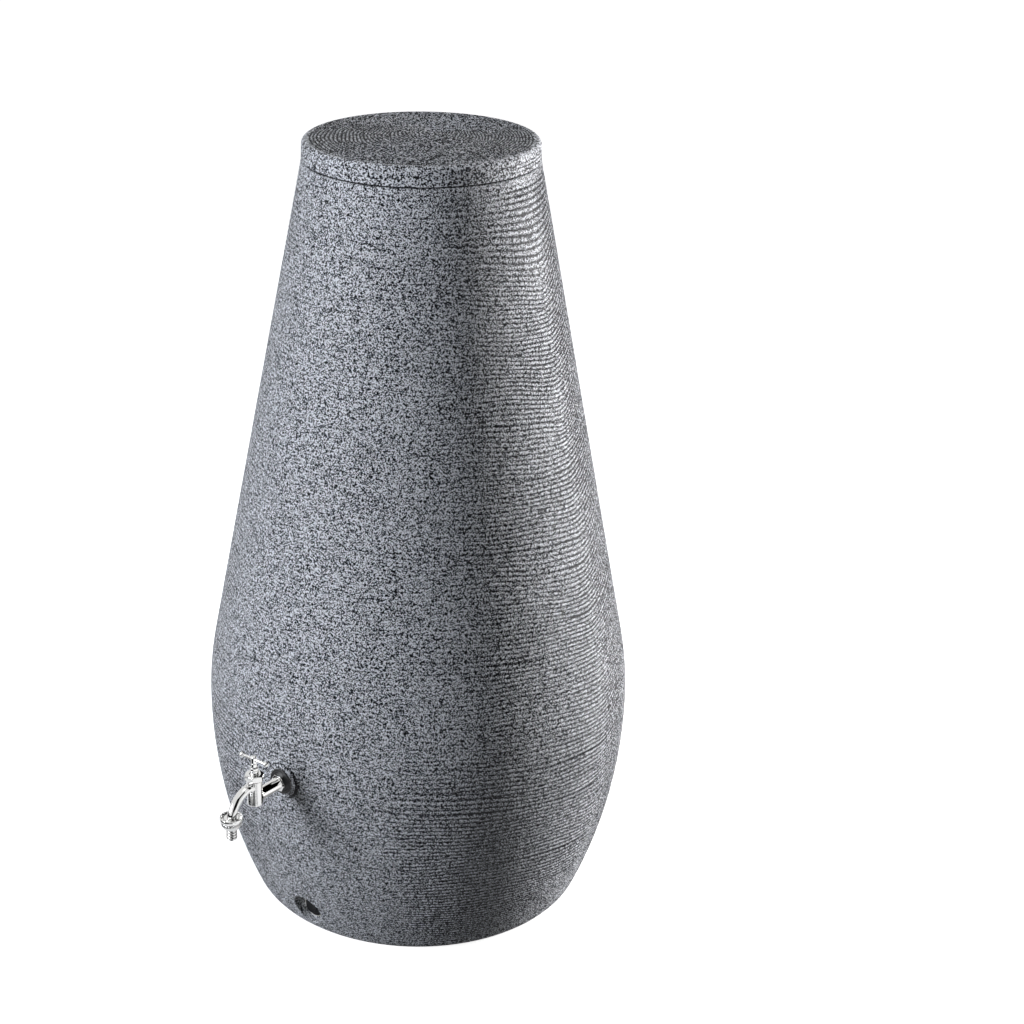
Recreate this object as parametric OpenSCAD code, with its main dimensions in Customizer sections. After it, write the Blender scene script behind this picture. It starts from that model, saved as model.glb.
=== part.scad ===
// Rain barrel: a drop-shaped, free-standing plastic barrel with a cap lid, a chromed bib tap
// with a hose union, and a screwed drain plug in a moulded pocket near the floor.
// Millimetres. The origin is the centre of the base, +Z is up and the tap faces -Y.

/* [Barrel] */
// Height over the closed lid
total_h = 1400; // [1200:10:1600]
// Widest diameter, at the belly
belly_d = 760; // [700:10:820]
// Height of the widest point
belly_z = 380; // [340:5:440]
// Radius of the long curve under the belly
lower_arc_r = 900; // [800:10:1200]
// Radius of the curve over the belly, up to the straight cone
upper_arc_r = 625; // [500:5:700]
// Lean of the straight cone, from the vertical, in degrees
cone_angle = 11; // [9:0.5:12]
// Radius of the rounded foot
foot_r = 40; // [25:1:60]
// Thickness of the moulded wall
wall = 5; // [4:0.5:7]
// Radius of the rounded shoulder under the lid
shoulder_r = 4; // [2:0.5:6]
// Width of the level ledge that the neck stands on
ledge_w = 3.2; // [2:0.2:6]

/* [Lid] */
// Height of the lid's side, from its lower edge to its top
lid_h = 33; // [28:1:45]
// Gap that shows between the barrel and the lid
lid_gap = 2; // [1:0.5:4]
// Thickness of the lid
lid_wall = 5; // [3:0.5:7]
// Radius of the lid's rounded upper edge
lid_edge_r = 9; // [6:0.5:14]
// Inward lean of the lid's side, in degrees
lid_draft = 2; // [0:0.5:4]
// Clearance between the neck and the lid's skirt, on the radius
lid_clear = 1.2; // [0.6:0.1:3]
// Chamfer in the corner under the lid's edge
lid_corner = 1.2; // [0.5:0.1:2]

/* [Tap seat] */
// Height of the tap's inlet
tap_z = 352; // [320:1:400]
// Diameter of the flat seat moulded on the wall
seat_d = 62; // [54:1:72]
// Width that the seat's foot spreads by on the way to the wall, on the radius
seat_flare = 3; // [1:0.5:5]
// Height of the seat's face over the wall
seat_rise = 3; // [2:0.5:6]
// Diameter of the pad inside the wall
pad_d = 52; // [46:1:60]
// Height of the pad over the inside of the wall
pad_rise = 3; // [2:0.5:6]
// Clearance between the wall's hole and the tap's tail, on the radius
tail_clear = 0.35; // [0.2:0.05:1]

/* [Tap fixing] */
// Diameter of the threaded tail that goes through the wall
tail_d = 20.9; // [16:0.1:26]
// Diameter of the rubber gasket outside
gasket_d = 46; // [40:1:50]
// Thickness of the rubber gasket
gasket_t = 3; // [2:0.5:5]
// Diameter of the washer inside
washer_d = 40; // [34:1:44]
// Thickness of the washer inside
washer_t = 2; // [1:0.5:4]
// Width across flats of the lock nut
lock_nut_af = 30; // [27:1:34]
// Thickness of the lock nut
lock_nut_t = 8; // [6:0.5:12]
// Length of tail past the lock nut
tail_past = 3; // [1:0.5:8]

/* [Tap body] */
// Width across flats of the hexagon at the wall
inlet_hex_af = 27; // [24:1:32]
// Thickness of that hexagon
inlet_hex_t = 7; // [5:0.5:10]
// Diameter of the inlet arm
arm_d = 21; // [18:0.5:23]
// Distance from the seat's face to the valve's axis
valve_reach = 67.5; // [60:0.5:90]
// Diameter of the valve body
valve_d = 27; // [25:0.5:32]
// Depth of the valve body under the inlet's axis
valve_below = 12.5; // [12:0.5:18]
// Height of the valve body over the inlet's axis
valve_above = 34; // [32:0.5:42]
// Diameter of the chamber over the valve seat
chamber_d = 21; // [19:0.5:22]
// Diameter of the water way from the tail to the valve seat
inlet_bore_d = 11; // [8:0.5:12]
// Diameter of the hole in the valve seat
seat_bore_d = 11; // [9:0.5:12]
// Height of the valve seat over the inlet's axis
seat_above = 9; // [8.5:0.5:12]
// Height of the raised lip round the valve seat
seat_lip = 1.2; // [0.8:0.2:2]
// Width of that lip
seat_lip_w = 1.5; // [1:0.25:2]
// Radius of the rounded edge under the valve body
body_round = 3; // [2:0.5:4]

/* [Spout] */
// Outer diameter of the spout's tube
spout_d = 16; // [13:0.5:17]
// Thickness of the tube's wall
spout_wall = 2.2; // [1.5:0.1:3]
// Height of the bend's highest point over the inlet's axis
spout_above = 24; // [20:0.5:26]
// Distance from the valve's axis to the outlet's axis
spout_reach = 60; // [52:1:70]
// Radius of the bend's middle line, down to the outlet
bend_r = 46; // [38:1:50]
// Outside diameter of the spout's thread
outlet_thread_d = 26.4; // [22:0.1:28]
// Length of the spout's thread
outlet_thread_l = 11; // [9:0.5:16]

/* [Headgear] */
// Width across flats of the bonnet
bonnet_af = 30; // [28:1:34]
// Thickness of the bonnet's hexagon
bonnet_t = 10; // [9:0.5:14]
// Thickness of the washer under the bonnet
bonnet_washer_t = 1.5; // [1:0.5:3]
// Length of the bonnet's thread in the valve body
bonnet_thread_l = 5.5; // [4:0.5:7]
// Length of the bonnet's nose below its thread
nose_l = 6.5; // [5:0.5:8]
// Diameter of the bonnet's nose
nose_d = 15; // [13:0.5:16]
// Outside diameter of the spindle's thread
spindle_thread_d = 9.9; // [9:0.1:10.5]
// Clearance of a thread or a stem that turns in its hole, on the radius
run_clear = 0.05; // [0.02:0.01:0.1]
// Diameter of the spindle's stem
stem_d = 7; // [6:0.5:8]
// Diameter of the stuffing box
box_d = 12; // [11:0.5:13]
// Depth of the stuffing box
box_depth = 6.5; // [5:0.5:8]
// Thickness of metal between the stuffing box and the spindle's thread
box_floor = 1.5; // [1:0.25:2.5]
// Height of the packing in it
packing_h = 3; // [2:0.5:4]
// Diameter of the gland nut
gland_d = 14.5; // [14:0.5:18]
// Height of the gland nut over the bonnet
gland_h = 13; // [8:0.5:16]
// Lift of the valve from shut to open
valve_travel = 6; // [4:0.5:6]

/* [Handle] */
// Diameter of the spindle's head
head_d = 10; // [9:0.5:14]
// Length of the spindle's head
head_h = 20; // [16:0.5:26]
// Radius of the rounded edge on top of the head
head_round = 2; // [1:0.25:3]
// Gap between the gland nut and the spindle's head when the tap is shut
head_gap = 0.5; // [0.3:0.1:2]
// Diameter of the cross bar
bar_d = 6; // [4:0.5:7]
// Length over the knobs at the bar's ends
bar_l = 63; // [50:1:80]
// Depth from the top of the head to the bar's axis
bar_below = 5.5; // [4.5:0.5:8]
// Diameter of the knobs
knob_d = 9.5; // [8:0.5:13]
// Depth that the bar goes into a knob
knob_grip = 5; // [3:0.5:6]
// Clearance of pieces that are pressed or screwed together, on the radius
fit_clear = 0.03; // [0.02:0.01:0.1]

/* [Jumper] */
// Diameter of the rubber washer that shuts the valve
jumper_washer_d = 16; // [14:0.5:17]
// Thickness of that washer
jumper_washer_t = 3; // [2:0.5:4]
// Diameter of the jumper's disc
jumper_d = 17.5; // [15:0.5:18]
// Thickness of the jumper's disc
jumper_t = 2.5; // [2:0.5:3]
// Diameter of the jumper's stem, in the end of the spindle
jumper_stem_d = 5; // [4:0.5:6]
// Length of the jumper's stem
jumper_stem_l = 9; // [6:0.5:11]
// Diameter of the jumper's stud, through the rubber washer
stud_d = 3; // [2.5:0.5:4]
// Width across flats of the nut on the stud
stud_nut_af = 6; // [5:0.5:7]
// Thickness of that nut
stud_nut_t = 2.4; // [2:0.2:4]

/* [Hose union] */
// Diameter of the union nut at its cup
union_d = 40; // [36:1:46]
// Diameter of the union nut's knurled band
band_d = 36; // [33:0.5:40]
// Height of the union nut
union_h = 21; // [19:0.5:26]
// Depth of the open cup at its top
cup_depth = 5; // [3:0.5:8]
// Diameter of the open cup
cup_d = 34; // [30:0.5:38]
// Height of the taper under the knurled band
band_rise = 7; // [5:0.5:9]
// Number of flutes on the knurled band
flutes = 24; // [12:1:36]
// Depth of a flute
flute_depth = 0.8; // [0.5:0.1:1.2]
// Thickness of the washer between the spout and the hose tail
tail_washer_t = 2; // [1.5:0.5:3]
// Diameter of the hose tail's collar
collar_d = 25.2; // [22:0.2:26]
// Thickness of the hose tail's collar
collar_t = 3; // [2:0.5:4]
// Thickness of the union nut's lip under the collar
lip_t = 3; // [2:0.5:4]
// Diameter of the hose tail at its barbs
barb_d = 19.5; // [16:0.5:22]
// Diameter of the hose tail between its barbs
barb_root_d = 16.5; // [14:0.5:18]
// Distance from barb to barb
barb_pitch = 5; // [4:0.5:8]
// Number of barbs
barb_count = 4; // [3:1:6]
// Plain length between the union nut and the barbs
tail_plain = 2; // [1:0.5:4]
// Diameter of the hose tail's bore
tail_bore_d = 11; // [9:0.5:13]

/* [Drain] */
// Height of the drain's axis
drain_z = 58; // [54:1:80]
// Diameter of the pocket in the wall
pocket_d = 60; // [56:1:70]
// Depth of the pocket's floor behind the wall's face, at its axis
pocket_depth = 27; // [22:1:34]
// Thickness of the pocket's floor
pocket_floor_t = 8; // [6:0.5:10]
// Diameter of the insert's flange
insert_flange_d = 45; // [43:1:50]
// Thickness of the insert's flange
insert_flange_t = 1.5; // [1:0.5:3]
// Diameter of the insert in the floor
insert_d = 39; // [37:0.5:41]
// Outside diameter of the plug's thread
plug_thread_d = 33.2; // [30:0.1:34]
// Length of the plug's thread
plug_thread_l = 12; // [8:0.5:16]
// Diameter of the plug's head
plug_d = 40; // [38:0.5:42]
// Thickness of the plug's head
plug_t = 5; // [4:0.5:7]
// Width across flats of the plug's raised hexagon
plug_hex_af = 22; // [17:1:26]
// Height of the plug's raised hexagon
plug_hex_h = 8; // [5:0.5:10]
// Diameter of the plug's sealing ring
plug_seal_d = 39; // [37:0.5:40]
// Thickness of the plug's sealing ring
plug_seal_t = 2.5; // [2:0.5:4]

/* [Hidden] */
$fn = 96;

granite = [0.36, 0.38, 0.42];
chromed = [0.80, 0.80, 0.80];
bare_brass = [0.78, 0.62, 0.35];
black = [0.08, 0.08, 0.09];
fibre = [0.55, 0.25, 0.18];

eps = 0.01;           // overlap that keeps a cut from ending on a face
seat_gap = 0.3;       // gap at rest between a piece that lifts off and its seat
edge = 0.8;           // turned-off edge of a nut, a collar or a thread
soft_edge = 0.6;      // moulded edge of a gasket or a seal

// The barrel's meridian: foot arc, lower arc, upper arc, cone
belly_r = belly_d / 2;
lower_cx = belly_r - lower_arc_r;
upper_cx = belly_r - upper_arc_r;
foot_cx = lower_cx + sqrt(pow(lower_arc_r - foot_r, 2) - pow(belly_z - foot_r, 2));
foot_angle = atan2(foot_r - belly_z, foot_cx - lower_cx);
cone_r0 = upper_cx + upper_arc_r * cos(cone_angle);
cone_z0 = belly_z + upper_arc_r * sin(cone_angle);
barrel_h = total_h - lid_h - lid_gap;
shoulder_cz = barrel_h - shoulder_r;
shoulder_cx = cone_radius(shoulder_cz) - shoulder_r / cos(cone_angle);
neck_r = shoulder_cx - ledge_w;
neck_top = total_h - lid_wall - seat_gap;
rim_r = wall / 2;

// The lid
skirt_z = barrel_h + lid_gap;
skirt_in_r = neck_r + lid_clear;
skirt_out_r = skirt_in_r + lid_wall;
lid_top_r = skirt_out_r - (lid_h - lid_edge_r) * tan(lid_draft);

// The tap's stations along its inlet, as distances from the barrel's axis
seat_face = wall_radius(tap_z) + seat_rise;
pad_face = wall_radius(tap_z) - wall - pad_rise;
hex_back = seat_face + gasket_t;
arm_back = hex_back + inlet_hex_t;
valve_y = seat_face + valve_reach;
lock_nut_y = pad_face - washer_t;
tail_end = lock_nut_y - lock_nut_t - tail_past;

// The tap's heights
valve_bottom = tap_z - valve_below;
valve_top = tap_z + valve_above;
seat_floor_z = tap_z + seat_above - seat_lip;
valve_seat_z = tap_z + seat_above;
thread_bottom = valve_top - bonnet_thread_l;
nose_bottom = thread_bottom - nose_l;
hex_bottom = valve_top + bonnet_washer_t;
bonnet_top = hex_bottom + bonnet_t;
box_bottom = bonnet_top - box_depth;
gland_top = bonnet_top + gland_h;
head_bottom = gland_top + head_gap;
head_top = head_bottom + head_h;
bar_z = head_top - bar_below;
disc_bottom = valve_seat_z + jumper_washer_t;
disc_top = disc_bottom + jumper_t;
spindle_bottom = disc_top + seat_gap;
thread_shoulder = box_bottom - box_floor;
thread_top = thread_shoulder - valve_travel - seat_gap;

// The spout's middle line is one arc, from inside the valve's chamber down to the outlet
outlet_y = valve_y + spout_reach;
outlet_z = tap_z + spout_above - bend_r;
bend_y = outlet_y - bend_r;
bend_back = asin((spout_reach - bend_r - chamber_d / 4) / bend_r);

// The hose union, from the spout's end down
collar_top = outlet_z - tail_washer_t;
collar_bottom = collar_top - collar_t;
union_bottom = collar_bottom - lip_t;
union_top = union_bottom + union_h;
tail_neck_d = barb_root_d + 1;
tail_bottom = union_bottom - tail_plain - barb_count * barb_pitch;

// The drain, as distances from the barrel's axis
pocket_floor = wall_radius(drain_z) - pocket_depth;
pocket_back = pocket_floor - pocket_floor_t;
flange_face = pocket_floor + insert_flange_t;
head_back = flange_face + plug_seal_t;
plug_face = head_back + plug_t;

// Radius of the outer wall at a height
function wall_radius(z) =
    z > cone_z0 ? cone_radius(z)
    : z > belly_z ? upper_cx + sqrt(pow(upper_arc_r, 2) - pow(z - belly_z, 2))
    : lower_cx + sqrt(pow(lower_arc_r, 2) - pow(belly_z - z, 2));

// Radius of the straight cone at a height
function cone_radius(z) = cone_r0 - (z - cone_z0) * tan(cone_angle);

// Points on an arc round (cx, cz), from angle a0 to a1, in steps
function arc(cx, cz, r, a0, a1, steps) =
    [for (i = [0:steps]) let (a = a0 + (a1 - a0) * i / steps) [cx + r * cos(a), cz + r * sin(a)]];

// The meridian from the base's centre to the end of the upper arc, set in by t
function meridian(t) = concat(
    [[0, t]],
    arc(foot_cx, foot_r, foot_r - t, -90, foot_angle, 8),
    arc(lower_cx, belly_z, lower_arc_r - t, foot_angle * 7 / 8, 0, 7),
    arc(upper_cx, belly_z, upper_arc_r - t, cone_angle / 4, cone_angle, 3));

// Solid of the outer wall, with its rounded shoulder and the neck
module outer_form() {
    rotate_extrude() polygon(concat(
        meridian(0),
        arc(shoulder_cx, shoulder_cz, shoulder_r, cone_angle, 90, 4),
        [[neck_r, barrel_h]],
        arc(neck_r - rim_r, neck_top - rim_r, rim_r, 0, 90, 4),
        [[0, neck_top]]));
}

// Space inside the wall, under the ledge and up through the neck
module inner_form() {
    ledge_z = barrel_h - wall;
    rotate_extrude() polygon(concat(
        meridian(wall),
        [[cone_radius(ledge_z) - wall / cos(cone_angle), ledge_z],
         [neck_r - wall, ledge_z],
         [neck_r - wall, neck_top - rim_r]],
        arc(neck_r - wall + rim_r, neck_top - rim_r, rim_r, 180, 90, 4),
        [[neck_r - wall + rim_r, neck_top + 1], [0, neck_top + 1]]));
}

// Cylinder or cone lying along -Y from distance y0 to y1 off the barrel's axis, at height z
module radial(y0, y1, r0, r1, z) {
    translate([0, -y0, z]) rotate([90, 0, 0]) cylinder(h = y1 - y0, r1 = r0, r2 = r1);
}

// Hexagonal prism along +Z with its corners turned off at both ends
module hexagon(af, h) {
    corner = af / sqrt(3);
    cut = (corner - af / 2) * tan(30);
    intersection() {
        cylinder(h = h, r = corner, $fn = 6);
        rotate_extrude() polygon([[0, 0], [af / 2, 0], [corner, cut], [corner, h - cut],
            [af / 2, h], [0, h]]);
    }
}

// Ring along +Z with turned-off outer edges
module ring(r_in, r_out, h, chamfer = 0.3) {
    rotate_extrude() polygon([[r_in, 0], [r_out - chamfer, 0], [r_out, chamfer],
        [r_out, h - chamfer], [r_out - chamfer, h], [r_in, h]]);
}

module at_valve(z) { translate([0, -valve_y, z]) children(); }
module at_outlet(z) { translate([0, -outlet_y, z]) children(); }
module facing_out(y, z) { translate([0, -y, z]) rotate([90, 0, 0]) children(); }

module barrel_shell() {
    pocket_r = pocket_d / 2;
    hole_r = tail_d / 2 + tail_clear;
    color(granite) difference() {
        union() {
            difference() {
                outer_form();
                inner_form();
            }
            intersection() {
                outer_form();
                radial(pocket_back, belly_r, pocket_r + wall, pocket_r + wall, drain_z);
            }
            radial(seat_face - seat_rise - wall, seat_face, seat_d / 2 + seat_flare, seat_d / 2, tap_z);
            radial(pad_face, pad_face + pad_rise + wall / 2, pad_d / 2, pad_d / 2, tap_z);
        }
        radial(pocket_floor, belly_r + 1, pocket_r, pocket_r, drain_z);
        radial(pocket_back - 1, pocket_floor + 1, insert_d / 2, insert_d / 2, drain_z);
        radial(pad_face - 1, seat_face + 1, hole_r, hole_r, tap_z);
    }
}

module lid() {
    edge_cx = lid_top_r - lid_edge_r;
    edge_cz = total_h - lid_edge_r;
    under_z = total_h - lid_wall;
    color(granite) rotate_extrude() polygon(concat(
        [[skirt_in_r, skirt_z], [skirt_out_r - edge, skirt_z], [skirt_out_r, skirt_z + edge]],
        arc(edge_cx, edge_cz, lid_edge_r, 0, 90, 6),
        [[0, total_h], [0, under_z], [skirt_in_r - lid_corner, under_z],
         [skirt_in_r, under_z - lid_corner]]));
}

module tap_gasket() {
    color(black) facing_out(seat_face, tap_z)
        ring(tail_d / 2 + fit_clear, gasket_d / 2, gasket_t, soft_edge);
}

module tap_inner_washer() {
    color(black) facing_out(lock_nut_y, tap_z)
        ring(tail_d / 2 + fit_clear, washer_d / 2, washer_t);
}

module tap_lock_nut() {
    color(bare_brass) facing_out(lock_nut_y - lock_nut_t, tap_z) difference() {
        hexagon(lock_nut_af, lock_nut_t);
        translate([0, 0, -1]) cylinder(h = lock_nut_t + 2, r = tail_d / 2 + fit_clear);
    }
}

// Bent rod of radius r along the spout's middle line; past is how far it runs past the outlet, in degrees
module spout_line(r, past = 0) {
    translate([0, -bend_y, outlet_z]) rotate([90, 0, -90]) rotate([0, 0, -past])
        rotate_extrude(angle = past + 90 + bend_back) translate([bend_r, 0]) circle(r = r);
}

module tap_body() {
    skin_r = valve_d / 2;
    lip_r = seat_bore_d / 2 + seat_lip_w;
    color(chromed) difference() {
        union() {
            radial(tail_end, hex_back + eps, tail_d / 2, tail_d / 2, tap_z);
            facing_out(hex_back, tap_z) hexagon(inlet_hex_af, inlet_hex_t);
            radial(arm_back - eps, valve_y, arm_d / 2, arm_d / 2, tap_z);
            at_valve(0) rotate_extrude() polygon(concat(
                [[0, valve_bottom]],
                arc(skin_r - body_round, valve_bottom + body_round, body_round, -90, 0, 4),
                [[skin_r, valve_top], [0, valve_top]]));
        }
        radial(tail_end - 1, valve_y, inlet_bore_d / 2, inlet_bore_d / 2, tap_z);
        at_valve(tap_z) cylinder(h = valve_above, r = seat_bore_d / 2);
        at_valve(0) rotate_extrude() polygon([
            [0, valve_seat_z], [lip_r, valve_seat_z],
            [lip_r + seat_lip_w / 3, seat_floor_z], [chamber_d / 2, seat_floor_z],
            [chamber_d / 2, valve_top + 1], [0, valve_top + 1]]);
        spout_line(spout_d / 2 + fit_clear);
    }
}

module spout() {
    color(chromed) difference() {
        union() {
            spout_line(spout_d / 2);
            at_outlet(outlet_z) ring(spout_d / 4, outlet_thread_d / 2, outlet_thread_l, edge);
        }
        spout_line(spout_d / 2 - spout_wall, 3);
        at_valve(valve_bottom) cylinder(h = valve_above + valve_below, r = chamber_d / 2);
    }
}

module bonnet() {
    bore_r = spindle_thread_d / 2 + run_clear;
    color(chromed) at_valve(0) difference() {
        union() {
            translate([0, 0, hex_bottom]) hexagon(bonnet_af, bonnet_t);
            translate([0, 0, thread_bottom])
                cylinder(h = hex_bottom - thread_bottom + eps, r = chamber_d / 2 - fit_clear);
            translate([0, 0, nose_bottom]) cylinder(h = nose_l + eps, r = nose_d / 2);
        }
        translate([0, 0, nose_bottom - 1]) cylinder(h = thread_shoulder - nose_bottom + 1, r = bore_r);
        cylinder(h = bonnet_top, r = stem_d / 2 + run_clear);
        translate([0, 0, box_bottom]) cylinder(h = box_depth + 1, r = box_d / 2);
    }
}

module bonnet_washer() {
    color(fibre) at_valve(valve_top)
        ring(chamber_d / 2 + fit_clear, valve_d / 2 - 0.2, bonnet_washer_t);
}

module gland_packing() {
    color(black) at_valve(box_bottom)
        ring(stem_d / 2 + run_clear, box_d / 2 - fit_clear, packing_h);
}

module gland_nut() {
    male_h = box_depth - packing_h;
    color(chromed) at_valve(0) difference() {
        union() {
            translate([0, 0, bonnet_top - male_h]) cylinder(h = male_h + eps, r = box_d / 2 - fit_clear);
            translate([0, 0, bonnet_top]) ring(stem_d / 4, gland_d / 2, gland_h, edge);
        }
        cylinder(h = gland_top + 1, r = stem_d / 2 + run_clear);
    }
}

module spindle() {
    thread_r = spindle_thread_d / 2;
    head_r = head_d / 2;
    color(chromed) at_valve(0) difference() {
        rotate_extrude() polygon(concat(
            [[0, spindle_bottom], [thread_r - edge, spindle_bottom], [thread_r, spindle_bottom + edge],
             [thread_r, thread_top], [stem_d / 2, thread_top], [stem_d / 2, head_bottom],
             [head_r - edge, head_bottom], [head_r, head_bottom + edge]],
            arc(head_r - head_round, head_top - head_round, head_round, 0, 90, 4),
            [[0, head_top]]));
        translate([0, 0, spindle_bottom - 1])
            cylinder(h = jumper_stem_l + 2, r = jumper_stem_d / 2 + run_clear);
        translate([-head_d, 0, bar_z]) rotate([0, 90, 0]) cylinder(h = head_d * 2, r = bar_d / 2 + fit_clear);
    }
}

module handle_bar() {
    l = bar_l - 2 * (knob_d - knob_grip);
    color(chromed) at_valve(bar_z) translate([-l / 2, 0, 0]) rotate([0, 90, 0])
        cylinder(h = l, r = bar_d / 2);
}

module handle_knobs() {
    color(chromed) at_valve(bar_z) for (side = [-1, 1])
        translate([side * (bar_l - knob_d) / 2, 0, 0]) rotate([0, side * 90, 0]) difference() {
            sphere(d = knob_d);
            translate([0, 0, -knob_d]) cylinder(h = knob_d / 2 + knob_grip, r = bar_d / 2 + fit_clear);
        }
}

module jumper_valve() {
    stud_end = disc_bottom - jumper_washer_t - stud_nut_t;
    color(bare_brass) at_valve(0) {
        translate([0, 0, disc_bottom]) ring(stud_d / 4, jumper_d / 2, jumper_t);
        translate([0, 0, stud_end]) cylinder(h = disc_top - stud_end, r = stud_d / 2);
        translate([0, 0, disc_top - eps]) cylinder(h = jumper_stem_l + eps, r = jumper_stem_d / 2);
    }
}

module jumper_washer() {
    color(black) at_valve(valve_seat_z)
        ring(stud_d / 2 + fit_clear, jumper_washer_d / 2, jumper_washer_t);
}

module jumper_nut() {
    color(bare_brass) at_valve(valve_seat_z - stud_nut_t) difference() {
        hexagon(stud_nut_af, stud_nut_t);
        translate([0, 0, -1]) cylinder(h = stud_nut_t + 2, r = stud_d / 2 + fit_clear);
    }
}

module union_nut() {
    band_high = union_h - cup_depth - lip_t;
    foot_r1 = collar_d / 2 + edge;
    flute_r = flute_depth + edge;
    brim = edge * 2;
    color(chromed) at_outlet(union_bottom) difference() {
        rotate_extrude() polygon(concat(
            [[tail_neck_d / 2 + run_clear, 0], [foot_r1, 0], [band_d / 2, band_rise],
             [band_d / 2, band_high], [union_d / 2 - edge, band_high + lip_t * 2 / 3]],
            arc(union_d / 2 - brim, union_h - brim, brim, -20, 160, 8),
            [[cup_d / 2, union_h - cup_depth],
             [outlet_thread_d / 2 + run_clear, union_h - cup_depth],
             [outlet_thread_d / 2 + run_clear, lip_t], [tail_neck_d / 2 + run_clear, lip_t]]));
        for (i = [0:flutes - 1]) rotate([0, 0, i * 360 / flutes])
            translate([band_d / 2 - flute_depth + flute_r, 0, band_rise + edge])
                cylinder(h = band_high - band_rise - edge * 2, r = flute_r);
    }
}

module hose_tail_washer() {
    color(black) at_outlet(collar_top)
        ring(tail_bore_d / 2, collar_d / 2, tail_washer_t);
}

module hose_tail() {
    neck_r1 = tail_neck_d / 2;
    root_r = barb_root_d / 2;
    color(chromed) at_outlet(0) rotate_extrude() polygon(concat(
        [[tail_bore_d / 2, collar_top], [tail_bore_d / 2, tail_bottom]],
        [for (i = [0:barb_count - 1]) let (z = tail_bottom + i * barb_pitch)
            each [[root_r, z], [barb_d / 2, z + barb_pitch * 0.8]]],
        [[root_r, tail_bottom + barb_count * barb_pitch],
         [neck_r1, tail_bottom + barb_count * barb_pitch + edge],
         [neck_r1, collar_bottom], [collar_d / 2, collar_bottom], [collar_d / 2, collar_top]]));
}

module drain_insert() {
    bore_r = plug_thread_d / 2 + run_clear;
    color(bare_brass) facing_out(0, drain_z) difference() {
        union() {
            translate([0, 0, pocket_back]) cylinder(h = pocket_floor_t + eps, r = insert_d / 2 - fit_clear);
            translate([0, 0, pocket_floor]) ring(insert_d / 4, insert_flange_d / 2, insert_flange_t);
        }
        translate([0, 0, pocket_back - 1]) cylinder(h = pocket_floor_t + insert_flange_t + 2, r = bore_r);
    }
}

module drain_seal() {
    color(black) facing_out(flange_face, drain_z)
        ring(plug_thread_d / 2 + run_clear, plug_seal_d / 2, plug_seal_t, soft_edge);
}

module drain_plug() {
    color(black) facing_out(0, drain_z) {
        translate([0, 0, head_back - plug_thread_l]) cylinder(h = plug_thread_l + 1, r = plug_thread_d / 2);
        translate([0, 0, head_back]) ring(plug_thread_d / 4, plug_d / 2, plug_t, edge);
        translate([0, 0, plug_face - eps]) hexagon(plug_hex_af, plug_hex_h);
    }
}

barrel_shell();
lid();
tap_gasket();
tap_body();
tap_inner_washer();
tap_lock_nut();
spout();
bonnet();
bonnet_washer();
gland_packing();
gland_nut();
spindle();
handle_bar();
handle_knobs();
jumper_valve();
jumper_washer();
jumper_nut();
union_nut();
hose_tail_washer();
hose_tail();
drain_insert();
drain_seal();
drain_plug();
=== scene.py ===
import bpy
import numpy as np
from mathutils import Matrix


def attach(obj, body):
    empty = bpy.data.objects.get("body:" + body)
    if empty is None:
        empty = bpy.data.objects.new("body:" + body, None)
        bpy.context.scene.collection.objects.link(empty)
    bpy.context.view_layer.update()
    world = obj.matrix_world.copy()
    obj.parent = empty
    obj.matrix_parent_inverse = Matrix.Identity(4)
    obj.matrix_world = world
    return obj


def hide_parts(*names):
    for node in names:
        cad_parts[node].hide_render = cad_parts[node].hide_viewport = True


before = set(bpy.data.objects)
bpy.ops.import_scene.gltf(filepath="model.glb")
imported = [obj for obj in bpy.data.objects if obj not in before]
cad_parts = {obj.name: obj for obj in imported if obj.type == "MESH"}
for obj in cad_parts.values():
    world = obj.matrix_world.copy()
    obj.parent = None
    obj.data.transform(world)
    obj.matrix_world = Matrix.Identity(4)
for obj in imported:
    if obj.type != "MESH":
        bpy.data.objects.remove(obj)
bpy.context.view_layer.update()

# ---- Barrel -------------------------------------------------------------------------------------
# The body is one hollow moulding of polyethylene with a granite effect, ribbed all the way round by
# its mould: the ribs wander, fork like a fingerprint and hang down towards the two parting lines.
# The neck stands on a narrow level ledge, and the base is flat.
mm = 0.001
belly_z = 380.0
lower_cx, lower_r = -520.0, 900.0
upper_cx, upper_r = -245.0, 625.0
foot_cx, foot_r = 269.94, 40.0
foot_turn = np.radians(-23.3)
cone_lean = np.radians(11.0)
barrel_h = 1365.0
shoulder_cx, shoulder_r = 196.94, 4.0
neck_r, neck_top, wall = 193.74, 1394.7, 5.0
rib_pitch, rib_depth, rib_set_in = 7.4, 1.6, 0.3
hang_reach, hang_front, hang_back, front_drop = 52.0, 28.0, 50.0, 22.0
tap_z, drain_z, pocket_r = 352.0, 58.0, 30.0


def arc(cx, cz, radius, start, end, count):
    """Points on a circle of the given radius round (cx, cz), from the start angle to the end angle in radians."""
    angle = np.linspace(start, end, count)
    return np.column_stack([cx + radius * np.cos(angle), cz + radius * np.sin(angle)])


def outline(set_in):
    """The wall's outline from the foot to the shoulder, moved inwards by set_in: foot arc, long arc under the
    belly, arc over the belly, then a straight cone. Each row is (radius, height)."""
    return np.vstack([
        arc(foot_cx, foot_r, foot_r - set_in, -np.pi / 2, foot_turn, 40),
        arc(lower_cx, belly_z, lower_r - set_in, foot_turn, 0, 200)[1:],
        arc(upper_cx, belly_z, upper_r - set_in, 0, cone_lean, 60)[1:],
        [[shoulder_cx + (shoulder_r - set_in) * np.cos(cone_lean),
          barrel_h - shoulder_r + (shoulder_r - set_in) * np.sin(cone_lean)]]])


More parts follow.
